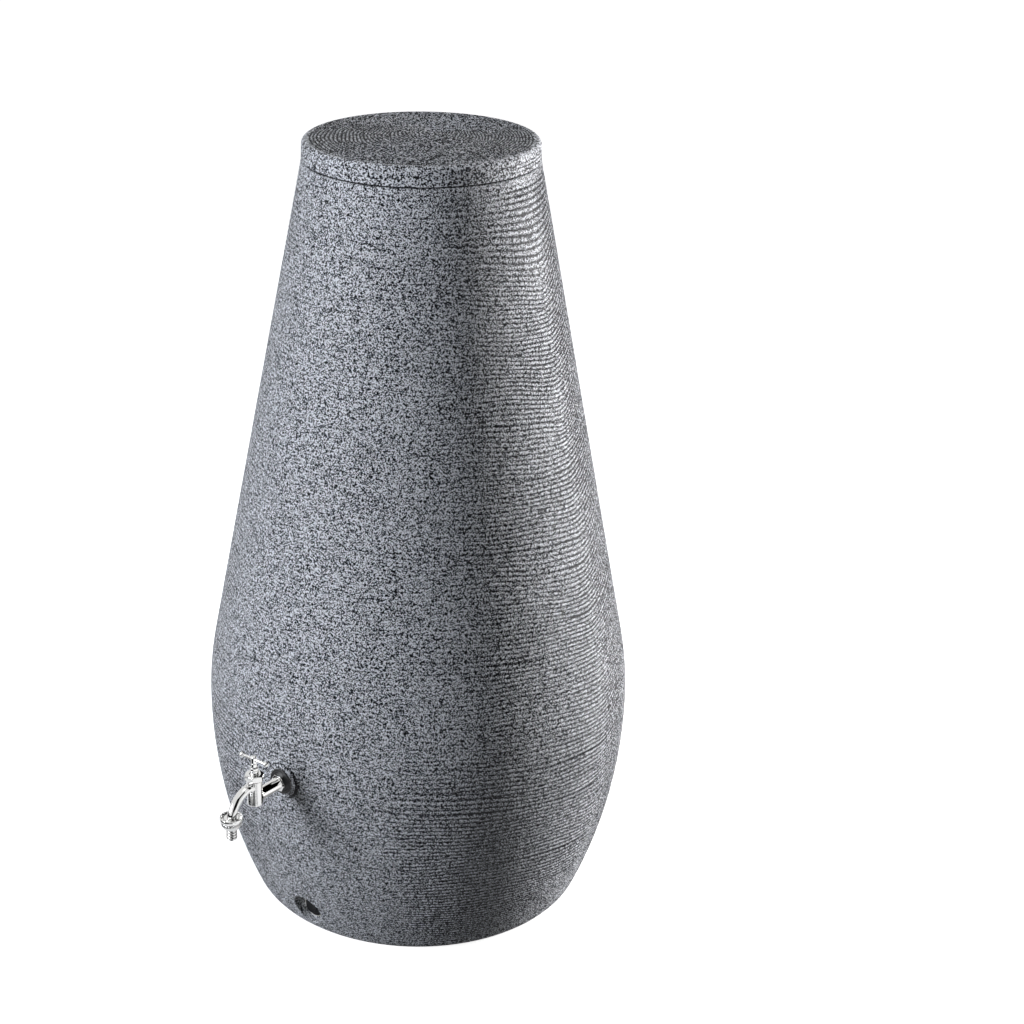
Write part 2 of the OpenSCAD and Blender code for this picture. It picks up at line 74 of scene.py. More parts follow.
def along(line, distance):
    """Points at the given distances along a line of points, by straight interpolation on its running length."""
    run = np.r_[0, np.cumsum(np.hypot(*np.diff(line, axis=0).T))]
    return np.stack([np.interp(distance, run, line[:, 0]), np.interp(distance, run, line[:, 1])], -1), run[-1]


def wall_r(z):
    """Outer radius of the plain wall at height z, read off the outline."""
    line = outline(0.0)
    return np.interp(z, line[:, 1], line[:, 0])


def smooth_step(x, low, high):
    """0 below low, 1 above high, and 3t^2 - 2t^3 between."""
    t = np.clip((x - low) / (high - low), 0, 1)
    return t * t * (3 - 2 * t)


def skin(name, surface, loop=False, sharp=0):
    """Makes a closed mesh of a grid of points. The columns close on themselves. loop joins the last row to the
    first; otherwise each end is closed by a fan round the mean of its row. sharp is the bend, in degrees, from
    which an edge is shaded as a crease. Faces are turned outwards by the sign of the volume."""
    rows, columns = surface.shape[:2]
    index = np.arange(rows * columns).reshape(rows, columns)
    points = surface.reshape(-1, 3) * mm
    near = np.vstack([index, index[:1]]) if loop else index
    a, b = near[:-1], near[1:]
    faces = np.stack([a, np.roll(a, -1, 1), np.roll(b, -1, 1), b], -1).reshape(-1, 4)
    corners = faces[:, [0, 1, 2, 0, 2, 3]].reshape(-1, 3)
    faces = faces.tolist()
    if not loop:
        points = np.vstack([points, points[index[0]].mean(0), points[index[-1]].mean(0)])
        ends = np.vstack([
            np.stack([np.roll(index[0], -1), index[0], np.full(columns, rows * columns)], -1),
            np.stack([index[-1], np.roll(index[-1], -1), np.full(columns, rows * columns + 1)], -1)])
        corners = np.vstack([corners, ends])
        faces += ends.tolist()
    p, q, r = (points[corners[:, i]] for i in range(3))
    mesh = bpy.data.meshes.new(name)
    mesh.from_pydata(points.tolist(), [], faces)
    if np.einsum("ij,ij->i", p, np.cross(q, r)).sum() < 0:
        mesh.flip_normals()
    mesh.shade_smooth()
    if sharp:
        crease(mesh, sharp)
    piece = bpy.data.objects.new(name, mesh)
    bpy.context.scene.collection.objects.link(piece)
    return piece


def crease(mesh, degrees):
    """Marks as sharp each edge whose two faces turn from each other by more than the given angle."""
    normal = np.empty(len(mesh.polygons) * 3, np.float32)
    mesh.polygons.foreach_get("normal", normal)
    normal = normal.reshape(-1, 3)
    total = np.empty(len(mesh.polygons), np.int32)
    mesh.polygons.foreach_get("loop_total", total)
    edge = np.empty(len(mesh.loops), np.int32)
    mesh.loops.foreach_get("edge_index", edge)
    order = np.argsort(edge, kind="stable")
    owner = np.repeat(np.arange(len(total)), total)[order]
    start = np.flatnonzero(np.r_[True, np.diff(edge[order]) > 0])
    turn = np.einsum("ij,ij->i", normal[owner[start]], normal[owner[np.minimum(start + 1, len(owner) - 1)]])
    mark = mesh.attributes.get("sharp_edge") or mesh.attributes.new("sharp_edge", "BOOLEAN", "EDGE")
    mark.data.foreach_set("value", turn < np.cos(np.radians(degrees)))


def srgb(code):
    """Linear colour of an sRGB hex code, with full alpha."""
    value = np.array([int(code[i:i + 2], 16) for i in (1, 3, 5)]) / 255
    return (*np.where(value <= 0.04045, value / 12.92, ((value + 0.055) / 1.055) ** 2.4).tolist(), 1.0)


def put(tree, kind, wires=None, **settings):
    """Adds one node. settings are its own values; wires gives each input a number, a colour or a socket to link."""
    node = tree.nodes.new(kind)
    for key, value in settings.items():
        setattr(node, key, value)
    for key, value in (wires or {}).items():
        if isinstance(value, bpy.types.NodeSocket):
            tree.links.new(value, node.inputs[key])
        else:
            node.inputs[key].default_value = value
    return node


def finish_of(name, **values):
    """Starts a material with a Principled shader; values are set on the shader's own inputs."""
    material = bpy.data.materials.new(name)
    material.use_nodes = True
    tree = material.node_tree
    tree.nodes.clear()
    shader = put(tree, "ShaderNodeBsdfPrincipled", {key.replace("_", " "): v for key, v in values.items()})
    put(tree, "ShaderNodeOutputMaterial", {"Surface": shader.outputs["BSDF"]})
    return material, tree, shader


def granite_polyethylene(name, flake):
    """Rotomoulded polyethylene with black and white flakes in the powder: satin, a little waxy, speckled all
    through. A flake is a cell of the given width in metres, and its own random number says whether it is black,
    white or, seldom, plain. The number leans to white on the ribs' crests, a painted highlight, and to black in
    their grooves, a painted shade; an attribute of the surface sets how much, also paints shade in the other places
    it marks and tints the colour there towards near black, and a second attribute paints shade over the lid's top.
    Each flake also stands at its own height, which makes the skin sparkle. Real flakes are about half a millimetre
    wide; they are drawn about three times coarser, because in the picture finer ones would blur to a plain grey."""
    material, tree, shader = finish_of(name, Roughness=0.5, IOR=1.51, Specular_IOR_Level=0.12)
    place = put(tree, "ShaderNodeTexCoord").outputs["Object"]
    flakes = put(tree, "ShaderNodeTexVoronoi", {"Vector": place, "Scale": 1 / flake, "Randomness": 1.0})
    kind = put(tree, "ShaderNodeSeparateColor", {0: flakes.outputs["Color"]})
    cloud = put(tree, "ShaderNodeTexNoise", {"Vector": place, "Scale": 9.0, "Detail": 3.0})
    clump = put(tree, "ShaderNodeTexNoise", {"Vector": place, "Scale": 1 / 0.010, "Detail": 2.0})
    bias = put(tree, "ShaderNodeMapRange", {"Value": clump.outputs[0], "From Min": 0.3, "From Max": 0.7,
                                            "To Min": 0.02, "To Max": 0.10})
    # Painted shade and highlight: the first attribute darkens grooves and other shaded places and lightens crests;
    # the second darkens the lid's top
    painted_shade = put(tree, "ShaderNodeAttribute", attribute_name="painted_shade")
    painted_top_shade = put(tree, "ShaderNodeAttribute", attribute_name="painted_top_shade")
    bias_after_top_shade = put(tree, "ShaderNodeMath", {0: bias.outputs[0], 1: painted_top_shade.outputs["Fac"]}, operation="SUBTRACT")
    sink = put(tree, "ShaderNodeMath", {0: painted_shade.outputs["Fac"], 1: -0.55, 2: bias_after_top_shade.outputs[0]},
               operation="MULTIPLY_ADD")
    lean = put(tree, "ShaderNodeMath", {0: kind.outputs[0], 1: sink.outputs[0]}, operation="ADD")
    dark = put(tree, "ShaderNodeMapRange", {"Value": lean.outputs[0], "From Min": 0.42, "From Max": 0.50},
               interpolation_type="SMOOTHSTEP")
    light = put(tree, "ShaderNodeMapRange", {"Value": lean.outputs[0], "From Min": 0.54, "From Max": 0.62},
                interpolation_type="SMOOTHSTEP")
    body = put(tree, "ShaderNodeMix", {0: cloud.outputs[0], 6: srgb("#7c818a"), 7: srgb("#90959f")}, data_type="RGBA")
    blackened = put(tree, "ShaderNodeMix", {0: dark.outputs[0], 6: srgb("#0b0c0f"), 7: body.outputs[2]},
                    data_type="RGBA")
    whitened = put(tree, "ShaderNodeMix", {0: light.outputs[0], 6: blackened.outputs[2], 7: srgb("#f1f4fa")},
                   data_type="RGBA")
    # Where the first attribute paints shade, the colour is also tinted towards near black
    shaded = put(tree, "ShaderNodeMath", {0: painted_shade.outputs["Fac"], 1: 0.48}, operation="MULTIPLY")
    tint = put(tree, "ShaderNodeMix", {0: shaded.outputs[0], 6: whitened.outputs[2], 7: srgb("#101115")},
               data_type="RGBA")
    tree.links.new(tint.outputs[2], shader.inputs["Base Color"])
    bump = put(tree, "ShaderNodeBump", {"Height": kind.outputs[1], "Strength": 1.0, "Distance": 0.0030})
    tree.links.new(bump.outputs[0], shader.inputs["Normal"])
    return material


# Columns: 104 round the barrel and four more close to each parting line, which is a thin ridge. The parting
# lines' angles from the tap are in degrees, and tap_half is the half of the mould that the tap is on
turns = np.linspace(0, 2 * np.pi, 104, endpoint=False)
parting = np.array([96.0, 270.0])
beside = np.array([-0.5, -0.16, 0.16, 0.5])
turns = np.sort(np.r_[turns, np.radians(parting[:, None] + beside).ravel()])
from_tap = np.degrees(turns)
off_parting = np.abs(from_tap - parting[:, None]).min(0)
tap_half = (from_tap < parting[0]) | (from_tap > parting[1])

# Rib widths: each forked rib closes up over part of the way round, and its neighbours share its width
chance = np.random.default_rng(11)
run_up = along(outline(0.0), 0.0)[1]
rib_count = int(run_up / rib_pitch)
number = np.arange(rib_count)[:, None]
forked = np.zeros((rib_count, len(turns)))
for rib in range(9, rib_count - 9, 2):
    middle, half = chance.uniform(0, 360), chance.uniform(14, 60)
    gap = np.abs((from_tap - middle + 180) % 360 - 180)
    if chance.random() < 0.4:
        forked[rib] = 0.93 * (1 - smooth_step(gap, half - 7, half + 7))
spread = np.exp(-((number - number.T) / 5.0) ** 2)
spread /= spread.sum(0)
width = (1 - forked + spread @ forked) * run_up / rib_count
foot_of_rib = np.vstack([np.zeros(len(turns)), np.cumsum(width, 0)])

# Four rows a rib: groove, flank, crest, flank. A fork sinks its rib's flanks and crest into the groove
share, flank = np.array([0.0, 0.22, 0.5, 0.78]), 0.36
rows = (foot_of_rib[:-1, None] + share[None, :, None] * width[:, None]).reshape(-1, len(turns))
rows = np.vstack([rows, foot_of_rib[-1:]]) * run_up / foot_of_rib[-1:]
flank_sunk = flank + (1 - flank) * forked
sunk = np.stack([np.ones_like(forked), flank_sunk, forked, flank_sunk], 1)
sunk = np.vstack([sunk.reshape(-1, len(turns)), np.ones((1, len(turns)))])

# The ribs wander by sums of sines and, towards a parting line, hang by a parabola of the angle from it: by
# hang_back on the back half and by hang_front on the tap's half, where all of them also lie front_drop lower
held = smooth_step(rows, 0, 230) * smooth_step(run_up - rows, 0, 130)
wander = sum(size * np.sin(waves * turns + 2 * np.pi * rows / length + phase) for size, waves, length, phase in
             [(2.4, 3, 410, 0.4), (1.8, 5, -270, 2.1), (1.1, 9, 190, 4.0), (0.6, 16, -120, 1.3)])
soft_off = np.hypot(off_parting, 5) - 5
hang = np.where(tap_half, hang_front, hang_back) * np.clip(1 - soft_off / hang_reach, 0, 1) ** 2
rows = rows + held * (wander - hang - np.where(tap_half, front_drop, 0))

# They are shallow within about 30 degrees of the line a little beside the tap, 8 degrees from it, and grow crisp
# in two steps towards the parting lines and behind. On the lower belly they are crisp from 34 degrees on
from_plain = np.abs((from_tap - 8 + 180) % 360 - 180)
crisp = 0.2 + 0.55 * smooth_step(from_plain, 28, 62) + 0.45 * smooth_step(from_plain, 62, 84)
low_down = (1 - smooth_step(rows, 260, 640)) * smooth_step(from_plain, 12, 34)
crisp = np.maximum(crisp, 1.1 * low_down)
depth = rib_depth * crisp * (0.82 + 0.18 * np.sin(4 * turns + rows / 90) * np.sin(7 * turns - rows / 60 + 1))

# Each point is set in from the plain outline, square to it: by rib_set_in, and in a groove by its depth. The
# grooves run out round the tap and the drain and at both ends of the wall, and the parting lines stand proud
on_wall = along(outline(0.0), rows)[0]
slope = along(outline(0.0), rows + 0.5)[0] - along(outline(0.0), rows - 0.5)[0]
slope /= np.linalg.norm(slope, axis=-1, keepdims=True)
side = on_wall[..., 0] * np.sin(turns)
to_tap = np.hypot(side, on_wall[..., 1] - tap_z)
to_drain = np.hypot(side, on_wall[..., 1] - drain_z)
facing = np.cos(turns) > 0
plain = np.where(facing, smooth_step(to_tap, 35, 46) * smooth_step(to_drain, 33, 42), 1)
plain = plain * smooth_step(rows, 0, 25) * smooth_step(run_up - rows, 1, 16)
ridge = np.clip(1 - off_parting / 0.16, 0, 1)
drop = (rib_set_in + depth * sunk * plain) * (1 - 0.4 * ridge) * smooth_step(rows, 0, 12)
drop = drop * smooth_step(run_up - rows, -1, 4)
wall_rz = on_wall - drop[..., None] * np.stack([slope[..., 1], -slope[..., 0]], -1)

# Above the ribs: shoulder, ledge, neck, rim, then back down the inside of the wall
inside = along(outline(wall), np.linspace(0, along(outline(wall), 0.0)[1] - 4, 64))[0][::-1]
upper = np.vstack([
    arc(shoulder_cx, barrel_h - shoulder_r, shoulder_r, cone_lean, np.pi / 2, 6)[1:],
    [[neck_r + 1.2, barrel_h], [neck_r + 0.3, barrel_h + 0.3], [neck_r, barrel_h + 1.2], [neck_r, barrel_h + 4]],
    arc(neck_r - wall / 2, neck_top - wall / 2, wall / 2, 0, np.pi, 9),
    [[neck_r - wall, barrel_h - wall + 1], [neck_r - wall + 1, barrel_h - wall],
     [shoulder_cx - 2, barrel_h - wall]],
    inside,
    [[200, wall], [80, wall]]])
lower = np.array([[80.0, 0], [200, 0], [264, 0]])
profile = np.vstack([np.repeat(lower[:, None], len(turns), 1), wall_rz, np.repeat(upper[:, None], len(turns), 1)])
barrel = skin("barrel_wall", np.stack([
    profile[..., 0] * np.sin(turns), -profile[..., 0] * np.cos(turns), profile[..., 1]], -1))

# Painted shade in the colour: the grooves darker by their depth and the crests lighter, a painted highlight; the
# whole back half darker by a painted shade; and full painted shade in the gap under the lid, which is the rows of
# upper from the shoulder's last to the foot of the neck
back_shade, gap_rows = 0.30, (4, 8)
painted_shade = np.zeros(len(barrel.data.vertices), np.float32)
first = len(lower) * len(turns)
shade = (1.2 * sunk - 0.2) * plain * (depth / rib_depth)
# The back half darker, as painted shade
shade = shade + back_shade * smooth_step(off_parting, 0, 10) * ~tap_half * (1 - shade)
painted_shade[first:first + rows.size] = shade.ravel()
gap_from, gap_to = (first + rows.size + row * len(turns) for row in gap_rows)
painted_shade[gap_from:gap_to] = 1
barrel.data.attributes.new("painted_shade", "FLOAT", "POINT").data.foreach_set("value", painted_shade)


def turned(profile, middle, out=False, columns=96):
    """A turned shape. profile rows are (distance along the axis, radius); a radius may be a whole row of radii,
    one a column. The axis goes up through middle (x, out, z), or, with out, away from the barrel's axis."""
    height = np.array([np.broadcast_to(row[0], columns) for row in profile], float)
    radius = np.array([np.broadcast_to(row[1], columns) for row in profile], float)
    angle = np.linspace(0, 2 * np.pi, columns, endpoint=False)
    x, y = radius * np.cos(angle), radius * np.sin(angle)
    if out:
        return np.stack([middle[0] + x, -(middle[1] + height), middle[2] + y], -1)
    return np.stack([middle[0] + x, y - middle[1], middle[2] + height], -1)


def cut(piece, surface):
    """Cuts the closed shape of a grid of points out of a piece."""
    cutter = skin(piece.name + "_cutter", surface)
    cutter.data.materials.append(piece.data.materials[0])
    bpy.context.view_layer.objects.active = piece
    tool = piece.modifiers.new("cut", "BOOLEAN")
    tool.object, tool.operation, tool.solver = cutter, "DIFFERENCE", "MANIFOLD"
    bpy.ops.object.modifier_apply(modifier=tool.name)
    bpy.data.objects.remove(cutter)


# The wall is open where the tap's seat and the drain's pocket take its place
tap_hole_r, drain_hole_r = 21, 32
granite = granite_polyethylene("granite_effect_polyethylene", 0.0016)
barrel.data.materials.append(granite)
cut(barrel, turned([(365, tap_hole_r), (400, tap_hole_r)], (0, 0, tap_z), out=True))
cut(barrel, turned([(279, drain_hole_r), (345, drain_hole_r)], (0, 0, drain_z), out=True))
crease(barrel.data, 50)
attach(barrel, "barrel")
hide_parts("barrel_shell")

# ---- Tap seat -----------------------------------------------------------------------------------
# The seat is a flat round boss of the same moulding, 3 mm proud, that the tap's gasket is pulled
# against. A pad backs it inside, and the hole through both is drilled after moulding.
seat_out, pad_out, hole_r, seat_foot_r = 382.564, 371.564, 10.8, 33.0


def rounded(corners, steps=5):
    """A line of (distance, radius, rounding) corners with each corner rounded off: the curve runs as a quadratic
    from one rounding length before the corner to one after it, with a point just beyond each end of it so that
    the flat stays flat in the shading."""
    corners = np.array(corners, float)
    line = [corners[:1, :2]]
    t = np.linspace(0, 1, steps)[:, None]
    for before, here, after in zip(corners[:-2], corners[1:-1], corners[2:]):
        p, c, q = before[:2], here[:2], after[:2]
        back, on = p - c, q - c
        size = min(here[2], np.linalg.norm(back) * 0.47, np.linalg.norm(on) * 0.47)
        if size <= 0:
            line.append(c[None])
            continue
        back, on = back / np.linalg.norm(back) * size, on / np.linalg.norm(on) * size
        curve = (1 - t) ** 2 * (c + back) + 2 * t * (1 - t) * c + t ** 2 * (c + on)
        line += [(c + back * 1.06)[None], curve, (c + on * 1.06)[None]]
    return np.vstack(line + [corners[-1:, :2]])


seat = skin("tap_seat", turned(rounded([
    (376, 30, 0), (376, 35, 0), (380.2, 33.4, 2), (seat_out, 31, 1), (seat_out, hole_r, 0.5),
    (pad_out, hole_r, 0.5), (pad_out, 26, 1.5), (376, 26.5, 0)]), (0, 0, tap_z), out=True), loop=True)

# Painted shade round the seat's foot, outside its face, and more of it on the lower side
seat_xyz = np.array([corner.co for corner in seat.data.vertices]) / mm
seat_r = np.hypot(seat_xyz[:, 0], seat_xyz[:, 2] - tap_z)
low_side = 0.75 + 0.25 * (tap_z - seat_xyz[:, 2]) / seat_foot_r
seat_painted_shade = (low_side * smooth_step(seat_r, 30.4, 31.4) * (seat_xyz[:, 1] < -377)).astype(np.float32)
seat.data.attributes.new("painted_shade", "FLOAT", "POINT").data.foreach_set("value", seat_painted_shade)
seat.data.materials.append(granite)
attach(seat, "barrel")
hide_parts("barrel_shell")

# ---- Drain pocket -------------------------------------------------------------------------------
# The pocket is moulded into the wall near the floor, so that the plug stays inside the barrel's
# outline. Its mouth follows the curved wall with a soft edge, and its floor is flat.
pocket_floor, pocket_back, insert_r, soft_edge = 293.43, 285.43, 19.5, 1.9


def mouth(radius, set_in, columns=96):
    """A ring on the barrel's wall round the drain: at each angle, the point that lies radius from the drain's
    axis, set in behind the wall; the distance out is sqrt(R(z)^2 - x^2) - set_in."""
    angle = np.linspace(0, 2 * np.pi, columns, endpoint=False)
    x, z = radius * np.cos(angle), radius * np.sin(angle) + drain_z
    return np.stack([x, -(np.sqrt(wall_r(z) ** 2 - x ** 2) - set_in), z], -1)


bend = np.radians(np.linspace(0, 90, 7))
edge_rings = [mouth(pocket_r + soft_edge * (1 - np.sin(a)), 0.1 + soft_edge * (1 - np.cos(a))) for a in bend]
cup = turned(rounded([
    (300.5, pocket_r, 0), (pocket_floor, pocket_r, 2.2), (pocket_floor, insert_r, 0.3),
    (pocket_back, insert_r, 0.3), (pocket_back, pocket_r + wall, 2), (296, pocket_r + wall, 0)]),
    (0, 0, drain_z), out=True)
pocket = skin("drain_pocket", np.concatenate([
    np.array([mouth(pocket_r + 4.2, 2.6), mouth(pocket_r + 3.0, 0.7), mouth(pocket_r + 2.4, 0.25)]),
    np.array(edge_rings), np.array([mouth(pocket_r, 4)]), cup]), loop=True, sharp=50)
pocket.data.materials.append(granite)
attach(pocket, "barrel")
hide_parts("barrel_shell")

# ---- Lid ----------------------------------------------------------------------------------------
# The lid is a second moulding that drops over the neck. Its top carries rings like the ribs of the
# wall, which run round a point behind the middle, and its side carries four more under a round edge.
lid_foot, lid_top, lid_wall, lid_in_r, lid_out_r, lid_edge = 1367.0, 1400.0, 5.0, 194.94, 199.94, 9.0
lid_draft = np.tan(np.radians(2))
ring_pitch, ring_depth, side_depth, lid_painted_top_shade = 5.6, 2.2, 0.9, 0.11
ring_middle = np.array([-8.0, 44.0])

# Side: rows of (radius, height) with four shallow grooves, plainest 125 degrees round from the tap
lid_columns = 168
round_lid = np.linspace(0, 2 * np.pi, lid_columns, endpoint=False)
side_h = np.linspace(0.8, lid_top - lid_foot - lid_edge, 21)
side_r = lid_out_r - side_h * lid_draft
side_phase = side_h[:, None] / 6.1 + 0.10 * np.sin(3 * round_lid) + 0.06 * np.sin(8 * round_lid + 1)
side_sunk = np.clip(np.abs(((side_phase + 0.5) % 1) - 0.5) * -4 + 1, 0, 1) ** 1.3
side_sunk *= smooth_step(side_h, 0.8, 3)[:, None] * smooth_step(side_h[-1] - side_h, -2, 2)[:, None]
side_sunk *= 1 - 0.75 * smooth_step(np.abs(np.degrees(round_lid) - 125), 28, 62)
side_z = np.repeat(lid_foot + side_h[:, None], lid_columns, 1)
lid_side = np.stack([side_r[:, None] - side_depth * side_sunk, side_z], -1)
top_r = side_r[-1] - lid_edge
edge_line = arc(top_r, lid_top - lid_edge, lid_edge, 0, np.pi / 2, 9)[1:]

# Top: rings of four rows each, as on the wall, that shrink and drift towards ring_middle
ring_count = int(top_r / ring_pitch)
ring_r = np.concatenate([top_r * (1 - (np.arange(ring_count)[:, None] + share) / ring_count)]).ravel()
ring_sunk = np.tile([1.0, flank, 0.0, flank], ring_count)
inward = 1 - ring_r / top_r
ring_wave = 1.6 * np.sin(5 * round_lid + 9 * inward[:, None]) + 1.1 * np.sin(11 * round_lid - 14 * inward[:, None])
ring_wave = ring_wave * smooth_step(inward, 0, 0.12)[:, None] * smooth_step(ring_r, 4, 40)[:, None]
radius = ring_r[:, None] + ring_wave
fade = smooth_step(ring_r, 3, 14) * smooth_step(inward, 0.005, 0.03)
shift = (inward ** 1.3)[:, None, None] * ring_middle
top_xy = np.stack([radius * np.sin(round_lid), -radius * np.cos(round_lid)], -1) + shift
top_z = lid_top - 0.02 - ring_depth * (ring_sunk * fade)[:, None] * np.ones_like(radius)

# Inside and foot, from the middle outwards, and then the whole cap
inside_top = lid_top - lid_wall
under = np.array([
    [60, inside_top], [150, inside_top], [lid_in_r - 1.2, inside_top], [lid_in_r, inside_top - 1.2],
    [lid_in_r, lid_foot + 3],
    [lid_in_r, lid_foot + 0.4], [lid_in_r + 0.4, lid_foot], [lid_out_r - 1, lid_foot],
    [lid_out_r - 0.3, lid_foot + 0.2]])
lid_rz = np.vstack([
    np.repeat(under[:, None], lid_columns, 1), lid_side, np.repeat(edge_line[:, None], lid_columns, 1)])
lid_low = np.stack([lid_rz[..., 0] * np.sin(round_lid), -lid_rz[..., 0] * np.cos(round_lid), lid_rz[..., 1]], -1)
lid = skin("lid_cap", np.concatenate([lid_low, np.concatenate([top_xy, top_z[..., None]], -1)]), sharp=60)

# Painted shade in the colour: full on the foot, in the gap under the lid; in the grooves by their depth, with the
# crests lighter as painted highlight; and over the whole top, a painted shade that leans it to black flakes
foot_row = 5
lid_painted_shade = np.zeros((len(lid_low) + len(ring_r), lid_columns), np.float32)
lid_painted_shade[foot_row:len(under)] = 1
lid_painted_shade[len(under):len(under) + len(side_h)] = side_sunk
lid_painted_shade[len(lid_low):] = ((1.2 * ring_sunk - 0.2) * fade)[:, None]
lid_painted_shade = np.r_[lid_painted_shade.ravel(), 0, 0].astype(np.float32)
lid.data.attributes.new("painted_shade", "FLOAT", "POINT").data.foreach_set("value", lid_painted_shade)
painted_top_shade = lid_painted_top_shade * (np.arange(len(lid_painted_shade)) >= len(lid_low) * lid_columns)
lid.data.attributes.new("painted_top_shade", "FLOAT", "POINT").data.foreach_set("value", painted_top_shade.astype(np.float32))
lid.data.materials.append(granite_polyethylene("granite_effect_lid", 0.0019))
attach(lid, "lid")
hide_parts("lid")

# ---- Drain plug ---------------------------------------------------------------------------------
# A nickelled brass insert is pressed into the pocket's floor, and a black moulded plug with a raised
# hexagon screws into it over a rubber ring. The insert's lip shows as a thin bright line.
flange_out, lip_out, head_out, plug_face, plug_end = 294.93, 300.6, 297.43, 302.43, 310.42


def threaded(start, end, radius, pitch, depth, columns=96, per_turn=8):
    """A screw thread: along the axis the radius is radius - depth * (1 - cos(2 pi (h / pitch - angle / 2 pi))) / 2,
    and the thread runs out over one turn at each end."""
    height = np.linspace(start, end, int(abs(end - start) / pitch * per_turn) + 2)[:, None]
    angle = np.linspace(0, 2 * np.pi, columns, endpoint=False)
    run_out = smooth_step(np.minimum(abs(height - start), abs(height - end)), 0, pitch)
    wave = (1 - np.cos(2 * np.pi * height / pitch - angle)) / 2
    return [(h[0], radius - r) for h, r in zip(height, depth * (run_out * wave + (1 - run_out)))]


def hexagon(low, high, flats, columns=96, chamfer=30):
    """A nut's six flats between two turned-off ends. The radius at an angle is flats / 2 over the cosine of the
    turn from the nearest flat's middle, and the chamfer's edge climbs by the tangent of 30 degrees as it grows."""
    angle = np.linspace(0, 2 * np.pi, columns, endpoint=False)
    flat = flats / 2 / np.cos((angle % (np.pi / 3)) - np.pi / 6)
    end_r = flats / 2 * 0.985
    rise = (flat - end_r) * np.tan(np.radians(chamfer))
    return [(low, end_r), (low + rise, flat), (high - rise, flat), (high, end_r)]


def bevelled(piece, size, degrees=32):
    """Rounds a piece's creases by size, in millimetres, with a live Bevel."""
    tool = piece.modifiers.new("edges", "BEVEL")
    tool.width, tool.segments, tool.limit_method = size * mm, 2, "ANGLE"
    tool.angle_limit, tool.harden_normals = np.radians(degrees), True
    return piece


def mottled(name, scale, detail, dark, light, **values):
    """A finish whose colour wanders between two tones in clouds of noise about 1 / scale metres wide. Gives the
    material, its tree, its shader and the noise."""
    material, tree, shader = finish_of(name, **values)
    place = put(tree, "ShaderNodeTexCoord").outputs["Object"]
    clouds = put(tree, "ShaderNodeTexNoise", {"Vector": place, "Scale": scale, "Detail": detail})
    shade = put(tree, "ShaderNodeMix", {0: clouds.outputs[0], 6: srgb(dark), 7: srgb(light)}, data_type="RGBA")
    tree.links.new(shade.outputs[2], shader.inputs["Base Color"])
    return material, tree, shader, clouds


# Black rubber (EPDM), moulded: a dark grey bloom in clouds of about 4 mm, and a soft shine
rubber, tree, shader, bloom = mottled(
    "moulded_rubber", 260.0, 3.0, "#0d0d0e", "#222325", Roughness=0.4, IOR=1.52, Specular_IOR_Level=0.5)
pores = put(tree, "ShaderNodeBump", {"Height": bloom.outputs[0], "Strength": 0.25, "Distance": 0.0003})
tree.links.new(pores.outputs[0], shader.inputs["Normal"])

# Black polypropylene, injection moulded with a spark-eroded texture: satin, slightly blue in the light. The real
# texture is about 0.1 mm; it is drawn at about 1 mm, as fine as a close picture shows
polypropylene, tree, shader, texture = mottled(
    "moulded_black_polypropylene", 900.0, 2.0, "#0a0b0d", "#16171b",
    Roughness=0.42, IOR=1.49, Specular_IOR_Level=0.12)
grain = put(tree, "ShaderNodeBump", {"Height": texture.outputs[0], "Strength": 0.3, "Distance": 0.0002})
tree.links.new(grain.outputs[0], shader.inputs["Normal"])

# Nickel plate on turned brass: pale grey metal with dull smudges of about 5 mm
nickel, tree, shader = finish_of("nickel_plated_brass", Metallic=1.0, Roughness=0.28)
shader.inputs["Base Color"].default_value = srgb("#d0cfca")
smudge = put(tree, "ShaderNodeTexNoise", {
    "Vector": put(tree, "ShaderNodeTexCoord").outputs["Object"], "Scale": 180.0, "Detail": 4.0})
dulled = put(tree, "ShaderNodeMapRange", {"Value": smudge.outputs[0], "To Min": 0.4, "To Max": 0.6})
tree.links.new(dulled.outputs[0], shader.inputs["Roughness"])

insert = skin("drain_thread_insert", turned(rounded([
    (pocket_back, 16.9, 0.2), (pocket_back, 19.4, 0.2), (pocket_floor, 19.4, 0.1), (pocket_floor + 0.02, 22.5, 0.2),
    (lip_out, 22.5, 0.3), (lip_out, 21.5, 0.3), (flange_out, 21.5, 0.2), (flange_out, 16.9, 0.3), (290, 16.7, 0)]),
    (0, 0, drain_z), out=True), loop=True)
insert.data.materials.append(nickel)
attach(insert, "barrel")
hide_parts("drain_insert")

seal = skin("drain_sealing_ring", turned(rounded([
    (flange_out, 17.2, 0), (flange_out, 19.5, 0.6), (head_out, 19.5, 0.6), (head_out, 16.65, 0.3),
    (flange_out, 16.65, 0.3), (flange_out, 17.2, 0)]), (0, 0, drain_z), out=True), loop=True)
seal.data.materials.append(rubber)
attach(seal, "drain_seal")
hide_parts("drain_seal")

plug = skin("drain_screw_plug", turned(
    [(head_out - 12, 0.5), (head_out - 12, 14.6)]
    + threaded(head_out - 11.6, head_out - 0.6, 16.58, 2.309, 1.3)
    + [tuple(row) for row in rounded([(head_out, 16.3, 0), (head_out, 20, 0.5), (plug_face, 20, 1.4),
                                      (plug_face, 13.6, 0)])]
    + [(plug_face + 0.3, 12.9)]
    + hexagon(plug_face + 0.4, plug_end, 22)
    + [(plug_end, 9.4), (plug_end - 0.72, 8.9), (plug_end - 0.92, 8.2), (plug_end - 0.92, 0.5)],
    (0, 0, drain_z), out=True), sharp=32)
bevelled(plug, 0.35)
plug.data.materials.append(polypropylene)
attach(plug, "drain_plug")
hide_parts("drain_plug")

# ---- Tap fixing ---------------------------------------------------------------------------------
# A rubber gasket seals the seat outside. Inside, a rubber washer and a brass lock nut on the tap's
# threaded tail pull the tap against the wall.
gasket_out, arm_out, valve_out = 385.564, 392.564, 450.064
washer_back, nut_back = 369.564, 361.564

